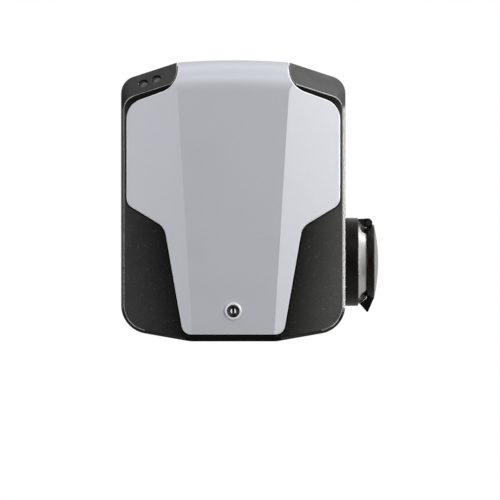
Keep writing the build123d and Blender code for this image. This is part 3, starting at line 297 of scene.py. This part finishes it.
def black_panel_painted_sheen():
    """The same grain on the front panels, with painted sheen and shade: reflection set by place, weak
    beside and above the shield, strong outside.
    """
    material = grained_black("black_panel_painted_sheen", PANEL_SPECK, PANEL_GRAIN, low=0.60, high=0.78)
    tree = material.node_tree
    place = tree.nodes.new("ShaderNodeTexCoord")
    mirror = tree.nodes.new("ShaderNodeVectorMath")
    mirror.operation = "ABSOLUTE"
    across = tree.nodes.new("ShaderNodeVectorMath")
    across.operation = "DOT_PRODUCT"
    across.inputs[1].default_value = (cos(PANEL_LEAN), 0.0, sin(PANEL_LEAN))
    tree.links.new(place.outputs["Object"], mirror.inputs[0])
    tree.links.new(mirror.outputs["Vector"], across.inputs[0])
    start = PANEL_FOOT[0] * cos(PANEL_LEAN) + PANEL_FOOT[1] * sin(PANEL_LEAN)
    sheen = fade(tree, across.outputs["Value"], start, start + PANEL_WIDE, SHEEN_NEAR, SHEEN_OUTER)
    split = tree.nodes.new("ShaderNodeSeparateXYZ")
    tree.links.new(place.outputs["Object"], split.inputs["Vector"])
    brow = fade(tree, split.outputs["Z"], BROW_FOOT, BROW_TOP, 1.0, BROW_SHEEN)
    tree.links.new(combine(tree, "MULTIPLY", sheen, brow), shader(material).inputs["Specular IOR Level"])
    return material


def smooth_black(name, specular):
    """Ungrained black of the narrow bevels and gaps of the cover."""
    material = new_finish(name, SHELL_BLACK, roughness=0.25, specular=specular)
    clouds = spots(material, 25 * MM)
    tint(material, clouds, SHELL_BLACK, SOCKET_SHEEN)
    polish(material, clouds, smooth=0.24, rough=0.26)
    return material


def painted_highlight_edge():
    """Painted highlight along the creases: pale grey in patches on the black."""
    material = new_finish("painted_highlight_edge", CREASE_HIGHLIGHT_DIM, roughness=0.35)
    patches = spots(material, 8 * MM)
    tint(material, patches, CREASE_HIGHLIGHT_DIM, CREASE_HIGHLIGHT)
    polish(material, patches, smooth=0.28, rough=0.4)
    return material


def silver_lacquer(name, colour, flake, roughness, metal, rim):
    """Satin silver lacquer with fine flakes and a trace of flow."""
    material = new_finish(name, colour, roughness, metallic=metal)
    shader(material).inputs["Specular Tint"].default_value = (rim, rim, rim, 1.0)
    tint(material, spots(material, 0.35 * MM, detail=1.0), colour, flake, low=0.35, high=0.75)
    polish(material, spots(material, 20 * MM), smooth=roughness - 0.02, rough=roughness + 0.02)
    relief(material, spots(material, 2.5 * MM, detail=1.0), depth=0.004 * MM)
    return material


def satin_black_socket():
    """Smooth black plastic of the socket, with faint flow clouds."""
    material = new_finish("satin_black_socket", SOCKET_BLACK, roughness=0.3, specular=0.12)
    clouds = spots(material, 9 * MM, detail=3.0)
    tint(material, clouds, SOCKET_BLACK, SOCKET_SHEEN)
    polish(material, clouds, smooth=0.26, rough=0.34)
    relief(material, spots(material, 0.4 * MM), depth=0.006 * MM)
    return material


def satin_nickel(name, colour, dull, metal):
    """Satin nickel of the lock, with fine wipe marks."""
    material = new_finish(name, colour, roughness=0.3, metallic=metal)
    wipe = spots(material, 1.2 * MM, detail=4.0)
    tint(material, wipe, dull, colour)
    polish(material, wipe, smooth=0.26, rough=0.34)
    return material


def dark_lock_core():
    """Darkened metal of the lock plug, worn paler by the key."""
    material = new_finish("dark_lock_core", CORE_DARK, roughness=0.28, metallic=0.9)
    patches = spots(material, 1.5 * MM, detail=4.0)
    tint(material, patches, CORE_DARK, CORE_WORN, low=0.45, high=0.7)
    polish(material, patches, smooth=0.22, rough=0.34)
    return material


def smoked_window():
    """Smoked glossy windows in front of the status lamps."""
    material = new_finish("smoked_window", WINDOW_SMOKE, roughness=0.14)
    clouds = spots(material, 3 * MM)
    tint(material, clouds, WINDOW_SMOKE, WINDOW_CLOUD)
    polish(material, clouds, smooth=0.10, rough=0.18)
    return material


def soft_rubber():
    """Matt black rubber of seals and grommet, a little dusty."""
    material = new_finish("soft_rubber", RUBBER_BLACK, roughness=0.75, specular=0.25)
    dust = spots(material, 2.2 * MM, detail=4.0)
    tint(material, dust, RUBBER_BLACK, RUBBER_DUST, low=0.5, high=0.8)
    relief(material, spots(material, 0.5 * MM), depth=0.03 * MM)
    return material


def zinc_steel():
    """Zinc plated steel with drawn streaks."""
    material = new_finish("zinc_steel", ZINC, roughness=0.35, metallic=1.0)
    streaks = spots(material, 0.5 * MM, detail=3.0, stretch=(12.0, 1.0, 1.0))
    tint(material, spots(material, 6 * MM, detail=4.0), ZINC_DARK, ZINC)
    polish(material, streaks, smooth=0.28, rough=0.42)
    relief(material, streaks, depth=0.008 * MM)
    return material


def plated_contact():
    """Silver plated contact sleeves, a little dull."""
    material = new_finish("plated_contact", CONTACT, roughness=0.25, metallic=1.0)
    dull = spots(material, 3 * MM, detail=4.0)
    tint(material, dull, CONTACT_DULL, CONTACT)
    polish(material, dull, smooth=0.2, rough=0.36)
    return material


def device_plastic(name, colour, shade, roughness=0.45):
    """Moulded plastic of the devices inside, with a fine spark finish."""
    material = new_finish(name, colour, roughness, specular=0.4)
    tint(material, spots(material, 7 * MM, detail=3.0), shade, colour)
    grain = spots(material, 0.5 * MM)
    polish(material, grain, smooth=roughness - 0.05, rough=roughness + 0.05)
    relief(material, grain, depth=0.02 * MM)
    return material


def track_board():
    """Green solder mask with paler copper tracks running under it."""
    material = new_finish("track_board", MASK_GREEN, roughness=0.35)
    tree = material.node_tree
    place = tree.nodes.new("ShaderNodeTexCoord")
    turn = tree.nodes.new("ShaderNodeMapping")
    turn.inputs["Rotation"].default_value = (radians(90), 0.0, 0.0)
    tracks = tree.nodes.new("ShaderNodeTexBrick")
    tracks.inputs["Color1"].default_value = (*MASK_GREEN, 1.0)
    tracks.inputs["Color2"].default_value = (*MASK_GREEN, 1.0)
    tracks.inputs["Mortar"].default_value = (*TRACK_GREEN, 1.0)
    tracks.inputs["Scale"].default_value = 1.0
    tracks.inputs["Brick Width"].default_value = TRACK_LONG
    tracks.inputs["Row Height"].default_value = TRACK_PITCH
    tracks.inputs["Mortar Size"].default_value = TRACK_WIDE
    tree.links.new(place.outputs["Object"], turn.inputs["Vector"])
    tree.links.new(turn.outputs["Vector"], tracks.inputs["Vector"])
    tree.links.new(tracks.outputs["Color"], shader(material).inputs["Base Color"])
    relief(material, tracks.outputs["Fac"], depth=0.03 * MM)
    return material


def milky_guard():
    """Milky clear sheet of the touch guard."""
    material = new_finish("milky_guard", GUARD_MILK, roughness=0.3)
    shader(material).inputs["Alpha"].default_value = GUARD_COVER
    clouds = spots(material, 12 * MM)
    tint(material, clouds, GUARD_MILK, GUARD_CLOUD)
    polish(material, clouds, smooth=0.30, rough=0.33)
    return material


def sleeved_can():
    """Drawn aluminium of the capacitor cans."""
    material = new_finish("sleeved_can", CAN_SILVER, roughness=0.35, metallic=0.8)
    streaks = spots(material, 0.5 * MM, stretch=(1.0, 10.0, 1.0))
    tint(material, streaks, CAN_SHADE, CAN_SILVER)
    polish(material, streaks, smooth=0.28, rough=0.42)
    return material


finishes = {
    "black_shell": grained_black("grained_black_shell", SHELL_SPECK, SHELL_GRAIN, low=0.55, high=0.76),
    "silver_shield": silver_lacquer("silver_shield_lacquer", SHIELD_SILVER, SHIELD_FLAKE,
                                    roughness=0.36, metal=0.3, rim=0.35),
    "silver_trim": silver_lacquer("silver_trim_lacquer", TRIM_SILVER, TRIM_FLAKE,
                                  roughness=0.22, metal=0.9, rim=0.6),
    "silver_dome": silver_lacquer("silver_dome_lacquer", DOME_SILVER, DOME_FLAKE,
                                  roughness=0.25, metal=0.9, rim=0.45),
    "black_socket": satin_black_socket(),
    "lock_chrome": satin_nickel("satin_nickel", NICKEL, NICKEL_DULL, metal=0.4),
    "edge_highlight": painted_highlight_edge(),
    "key_guide": satin_nickel("key_guide_painted_highlight", GUIDE_HIGHLIGHT, GUIDE_HIGHLIGHT_DIM, metal=0.15),
    "lock_core": dark_lock_core(),
    "window": smoked_window(),
    "rubber_black": soft_rubber(),
    "steel": zinc_steel(),
    "black_steel": device_plastic("black_steel", STEEL_BLACK, STEEL_BLACK_WORN, roughness=0.3),
    "contact_metal": plated_contact(),
    "device_grey": device_plastic("device_grey", DEVICE_GREY, DEVICE_SHADE),
    "device_dark": device_plastic("device_dark", DEVICE_DARK, DEVICE_DARK_SPECK),
    "device_blue": device_plastic("lever_blue", LEVER_BLUE, LEVER_BLUE_SHADE, roughness=0.35),
    "button_yellow": device_plastic("button_yellow", BUTTON_YELLOW, BUTTON_SHADE, roughness=0.35),
    "terminal_grey": device_plastic("terminal_grey", TERMINAL_GREY, TERMINAL_SHADE),
    "board_green": track_board(),
    "guard_clear": milky_guard(),
    "can_silver": sleeved_can(),
}
slot_of = {part["node"]: part["material_slot"] for part in frame["record"]["subparts"]}
body_of = {node: body for body, names in frame["record"]["behaviour"]["bodies"].items() for node in names}


def clothe(piece, slot):
    """Give a piece one finish all over."""
    piece.data.materials.clear()
    piece.data.materials.append(finishes[slot])


def only(piece):
    """Select one piece and make it the active one."""
    bpy.ops.object.select_all(action="DESELECT")
    piece.select_set(True)
    bpy.context.view_layer.objects.active = piece


def middle_of(name):
    """Middle of a piece's box."""
    low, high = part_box(name)
    return (Vector(low) + Vector(high)) / 2


def copy_of(name, whole_faces=False):
    """Copy that stands for a piece, its doubled corners merged and, if asked, facets of one plane too."""
    only(nodes[name])
    bpy.ops.object.duplicate()
    piece = bpy.context.active_object
    piece.name = name + "_finished"
    only(piece)
    bpy.ops.mesh.customdata_custom_splitnormals_clear()
    bpy.ops.object.mode_set(mode="EDIT")
    bpy.ops.mesh.select_all(action="SELECT")
    bpy.ops.mesh.remove_doubles(threshold=MERGE)
    if whole_faces:
        bpy.ops.mesh.dissolve_limited(angle_limit=PLANE_ANGLE)
    bpy.ops.mesh.select_all(action="DESELECT")
    bpy.ops.object.mode_set(mode="OBJECT")
    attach(piece, body_of[name])
    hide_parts(name)
    return piece


def soft_edged(name, width, back):
    """Copy of a piece with its sharp edges rounded, as far as they lie in front of a given place."""
    piece = copy_of(name, whole_faces=True)
    bpy.ops.object.mode_set(mode="EDIT")
    bpy.ops.mesh.edges_select_sharp(sharpness=CREASE_ANGLE)
    bpy.ops.mesh.mark_sharp()
    bpy.ops.mesh.select_mode(type="EDGE")
    bpy.ops.mesh.select_all(action="DESELECT")
    bpy.ops.mesh.edges_select_sharp(sharpness=EDGE_ANGLE)
    bpy.ops.object.mode_set(mode="OBJECT")
    corners = piece.data.vertices
    weights = piece.data.attributes.new("bevel_weight_edge", "FLOAT", "EDGE")
    for line in piece.data.edges:
        farthest = max((piece.matrix_world @ corners[end].co).y for end in line.vertices)
        weights.data[line.index].value = float(line.select and farthest < back)
    bpy.ops.object.shade_smooth()
    edge = piece.modifiers.new("soft_edge", "BEVEL")
    edge.width = width
    edge.segments = EDGE_STEPS
    edge.limit_method = "WEIGHT"
    edge.use_clamp_overlap = False
    edge.miter_outer = "MITER_ARC"
    edge.harden_normals = True
    bpy.ops.object.modifier_apply(modifier=edge.name)
    return piece


def pick_faces(piece, belongs):
    """Select the faces of a piece that belong to a group, and go on in edit mode."""
    bpy.ops.object.mode_set(mode="EDIT")
    bpy.ops.mesh.select_mode(type="FACE")
    bpy.ops.mesh.select_all(action="DESELECT")
    bpy.ops.object.mode_set(mode="OBJECT")
    turn = piece.matrix_world.to_3x3()
    for face in piece.data.polygons:
        face.select = belongs(piece.matrix_world @ face.center, turn @ face.normal)
    bpy.ops.object.mode_set(mode="EDIT")


def dish_windows():
    """Hollow faces of the two windows over the status lamps, which look up, forward and left."""
    windows = copy_of("led_lenses")
    turn = windows.matrix_world.to_3x3()
    outward = max((turn @ face.normal for face in windows.data.polygons), key=lambda n: n.z - n.y - n.x)
    front = max((windows.matrix_world @ face.center).dot(outward) for face in windows.data.polygons)
    pick_faces(windows, lambda at, n: n.dot(outward) > FLAT and at.dot(outward) > front - WINDOW_FRONT)
    bpy.ops.mesh.dissolve_faces()
    for ring, depth in WINDOW_DISH:
        bpy.ops.mesh.inset(thickness=ring, depth=-depth)
    bpy.ops.object.mode_set(mode="OBJECT")
    bpy.ops.object.shade_smooth_by_angle(angle=WINDOW_SMOOTH)


def close_tab():
    """Finger tab of the lid brought up to the bezel."""
    lid = copy_of("socket_lid")
    axis = middle_of("socket_bezel")
    pick_faces(lid, lambda at, n: n.dot(TAB_SLOPE) > FLAT and at.z < axis.z - TAB_DOWN)
    bpy.ops.transform.translate(value=(0.0, 0.0, TAB_LIFT))
    bpy.ops.object.mode_set(mode="OBJECT")
    bpy.ops.object.shade_smooth_by_angle(angle=LID_SMOOTH)


def smooth_dome():
    """Dome of the lid with one even curve over its crown, in a darker silver than the bezel."""
    dome = copy_of("lid_dome")
    clothe(dome, "silver_dome")
    bpy.ops.object.shade_smooth_by_angle(angle=LID_SMOOTH)


def fit_key_guide():
    """Guide of the key, a sliver either side of its slot, near white as a painted highlight."""
    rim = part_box("lock_plug")[0][1]
    middle = middle_of("lock_plug")
    place = (middle.x, rim + GUIDE_SINK + GUIDE_THICK / 2, middle.z)
    bpy.ops.object.select_all(action="DESELECT")
    bpy.ops.mesh.primitive_cylinder_add(vertices=GUIDE_SIDES, radius=1.0, depth=1.0)
    guide = bpy.context.active_object
    guide.name = "key_guide"
    bpy.ops.object.mode_set(mode="EDIT")
    bpy.ops.mesh.select_all(action="SELECT")
    bpy.ops.transform.rotate(value=radians(90), orient_axis="X", center_override=(0.0, 0.0, 0.0))
    size = (GUIDE_HALF_WIDE, GUIDE_THICK, GUIDE_HALF_TALL)
    bpy.ops.transform.resize(value=size, center_override=(0.0, 0.0, 0.0))
    bpy.ops.transform.translate(value=place)
    bpy.ops.object.mode_set(mode="OBJECT")
    bpy.ops.mesh.primitive_cube_add(size=1.0)
    slot = bpy.context.active_object
    bpy.ops.object.mode_set(mode="EDIT")
    bpy.ops.mesh.select_all(action="SELECT")
    bpy.ops.transform.resize(value=(GUIDE_SLOT, GUIDE_CUT, GUIDE_CUT), center_override=(0.0, 0.0, 0.0))
    bpy.ops.transform.translate(value=place)
    bpy.ops.object.mode_set(mode="OBJECT")
    only(guide)
    cut = guide.modifiers.new("key_slot", "BOOLEAN")
    cut.object = slot
    cut.operation = "DIFFERENCE"
    cut.solver = "EXACT"
    bpy.ops.object.modifier_apply(modifier=cut.name)
    bpy.data.objects.remove(slot)
    clothe(guide, "key_guide")
    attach(guide, body_of["lock_plug"])


def finish_faces(piece, material, belongs):
    """Give one finish to the faces that belong to it, told by their middle and the way they look."""
    if material.name not in piece.data.materials:
        piece.data.materials.append(material)
    index = piece.data.materials.find(material.name)
    turn = piece.matrix_world.to_3x3()
    for face in piece.data.polygons:
        if belongs(piece.matrix_world @ face.center, turn @ face.normal):
            face.material_index = index


def finish_cover(cover):
    """Panels with painted sheen, smooth bevels, a lip in painted shade and creases with a painted
    highlight, of the cover.
    """
    side = smooth_black("smooth_black_bevel", specular=0.5)
    # Painted shade: the lip under the shield keeps almost no reflection.
    lip = smooth_black("black_lip_painted_shade", specular=0.02)
    corner = smooth_black("black_corner_bevel", specular=0.2)

    def on_side(at, n):
        return -CREASED < n.y < -STEEP and abs(n.x) > STEEP and abs(n.z) < SHOULDER_RISE

    def on_underside(at, n):
        return -FLAT < n.y < -STEEP and n.z < -LEVEL

    def on_crease(at, n):
        return -FLAT < n.y < -CREASED and n.z > -max(LEVEL, abs(n.x))

    finish_faces(cover, black_panel_painted_sheen(), lambda at, n: n.y < -FLAT)
    finish_faces(cover, side, on_side)
    finish_faces(cover, lip, lambda at, n: on_underside(at, n) and abs(at.x) < LIP_HALF)
    finish_faces(cover, corner, lambda at, n: on_underside(at, n) and abs(at.x) > LIP_HALF)
    finish_faces(cover, finishes["edge_highlight"], on_crease)


def beside(name, at):
    """Whether a point lies within the width of a gap from a piece."""
    here = nodes[name].matrix_world.inverted() @ at
    return (nodes[name].closest_point_on_mesh(here)[1] - here).length < GAP_NEAR


def finish_gaps(cover):
    """Painted shade in the gap round the shield and on the walls of the window holes, and a painted
    highlight on the edge at the neck.
    """
    gap_shade = smooth_black("painted_shade_gap", specular=0.05)

    def at_shield(at, n):
        return -FLAT < n.y < LEVEL and beside("front_shield", at)

    def at_neck(at, n):
        return -FLAT < n.y < -STEEP and n.z > STEEP and at.z > ROLL_FOOT and beside("front_shield", at)

    def at_window(at, n):
        return n.z < SHOULDER_FLAT and beside("led_lenses", at)

    finish_faces(cover, gap_shade, at_shield)
    finish_faces(cover, finishes["edge_highlight"], at_neck)
    finish_faces(cover, gap_shade, at_window)


def paint_shield_edge_highlight():
    """Painted highlight: a brighter silver lacquer on the rounded outer edge of the shield."""
    edge = silver_lacquer("silver_edge_painted_highlight", SHIELD_EDGE_HIGHLIGHT, SHIELD_EDGE_HIGHLIGHT_FLAKE, roughness=0.3, metal=0.3, rim=0.5)

    def on_edge(at, n):
        return -ROUNDED < n.y < -LEVEL / 2 and (abs(n.x) > ASIDE or at.z < ROLL_FOOT)

    finish_faces(nodes["front_shield"], edge, on_edge)


def paint_pocket_shade():
    """Painted shade: the walls and floors of the screw pockets in the bezel in the black of the socket."""
    axis = middle_of("socket_bezel")
    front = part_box("socket_bezel")[1][0]

    def in_pocket(at, n):
        far = (at - axis).yz.length > POCKET_NEAR
        wall = abs(n.x) < LEVEL
        floor = n.x > FLAT and at.x < front - POCKET_DEEP
        return far and (wall or floor)

    finish_faces(nodes["socket_bezel"], finishes["black_socket"], in_pocket)


def paint_lock_mouth_shade():
    """Painted shade: the step inside the ring of the lock in the dark metal of the plug."""
    axis = middle_of("lock_barrel")
    finish_faces(nodes["lock_barrel"], finishes["lock_core"], lambda at, n: (at - axis).xz.length < MOUTH_R)


def aim(thing, target):
    """Turn a camera or lamp to look at a point."""
    thing.rotation_euler = (Vector(target) - thing.location).to_track_quat("-Z", "Y").to_euler()


def place_camera():
    """Camera in front of the box with a long lens, a little above its middle."""
    camera = bpy.data.objects.new("camera", bpy.data.cameras.new("camera"))
    scene.collection.objects.link(camera)
    camera.location = CAMERA_AT
    aim(camera, AIM_AT)
    camera.data.sensor_width = SENSOR
    camera.data.lens = SENSOR * (AIM_AT - CAMERA_AT).length / VIEW_WIDE
    scene.camera = camera


def place_lamps():
    """Soft panels round the box."""
    for name, panel in LAMPS.items():
        light = bpy.data.lights.new(name, "AREA")
        light.shape = "RECTANGLE"
        light.size = panel["wide"]
        light.size_y = panel["tall"]
        light.energy = panel["watts"]
        light.color = panel.get("colour", WHITE)
        lamp = bpy.data.objects.new(name, light)
        scene.collection.objects.link(lamp)
        lamp.location = panel["at"]
        aim(lamp, LAMPS_AIM)
        lamp.visible_camera = False


def hang_backdrop():
    """White surroundings for the eye, darker in front, below and on the left for gloss, grey as light."""
    world = bpy.data.worlds.new("studio")
    scene.world = world
    world.use_nodes = True
    tree = world.node_tree
    tree.nodes.clear()
    ray = tree.nodes.new("ShaderNodeLightPath")
    place = tree.nodes.new("ShaderNodeTexCoord")
    split = tree.nodes.new("ShaderNodeSeparateXYZ")
    tree.links.new(place.outputs["Generated"], split.inputs["Vector"])
    front = fade(tree, split.outputs["Y"], *FRONT_FADE, FRONT_GLOSS, 1.0)
    under = fade(tree, split.outputs["Z"], *UNDER_FADE, UNDER_GLOSS, 1.0)
    behind = fade(tree, split.outputs["Y"], *BEHIND_FADE, 0.0, 1.0)
    left = fade(tree, split.outputs["X"], *LEFT_FADE, LEFT_GLOSS, 1.0)
    shade = combine(tree, "MULTIPLY", front, combine(tree, "MAXIMUM", under, behind))
    shade = combine(tree, "MULTIPLY", shade, left)
    room = tree.nodes.new("ShaderNodeMix")
    room.data_type = "FLOAT"
    room.inputs["A"].default_value = AMBIENT
    tree.links.new(ray.outputs["Is Glossy Ray"], room.inputs["Factor"])
    tree.links.new(shade, room.inputs["B"])
    seen = combine(tree, "MAXIMUM", ray.outputs["Is Camera Ray"], ray.outputs["Is Transmission Ray"])
    glow = tree.nodes.new("ShaderNodeBackground")
    glow.inputs["Color"].default_value = (*WHITE, 1.0)
    tree.links.new(combine(tree, "MAXIMUM", seen, room.outputs["Result"]), glow.inputs["Strength"])
    out = tree.nodes.new("ShaderNodeOutputWorld")
    tree.links.new(glow.outputs["Background"], out.inputs["Surface"])


def lay_floor():
    """Plain pale floor well below the box, darker as a source of light than to the eye."""
    bpy.ops.object.select_all(action="DESELECT")
    bpy.ops.mesh.primitive_plane_add(size=FLOOR_SIZE, location=(0.0, 0.0, -FLOOR_DOWN))
    floor = bpy.context.active_object
    floor.name = "floor"
    material = new_finish("pale_floor", FLOOR_PALE, roughness=0.8, specular=0.1)
    tree = material.node_tree
    ray = tree.nodes.new("ShaderNodeLightPath")
    tone = tree.nodes.new("ShaderNodeMix")
    tone.data_type = "RGBA"
    tone.inputs["A"].default_value = (*FLOOR_DIM, 1.0)
    tone.inputs["B"].default_value = (*FLOOR_PALE, 1.0)
    mirrored = combine(tree, "MAXIMUM", ray.outputs["Is Glossy Ray"], ray.outputs["Is Transmission Ray"])
    tree.links.new(mirrored, tone.inputs["Factor"])
    tree.links.new(tone.outputs["Result"], shader(material).inputs["Base Color"])
    shader(material).inputs["Emission Color"].default_value = (*FLOOR_SEEN, 1.0)
    tree.links.new(ray.outputs["Is Camera Ray"], shader(material).inputs["Emission Strength"])
    floor.data.materials.append(material)


for name, node in nodes.items():
    clothe(node, slot_of[name])
shells = {name: soft_edged(name, **edges) for name, edges in SOFT_EDGES.items()}
finish_cover(shells["front_cover"])
finish_gaps(shells["front_cover"])
paint_shield_edge_highlight()
paint_pocket_shade()
paint_lock_mouth_shade()
dish_windows()
close_tab()
smooth_dome()
fit_key_guide()
place_camera()
place_lamps()
hang_backdrop()
lay_floor()
scene.view_settings.view_transform = "Standard"
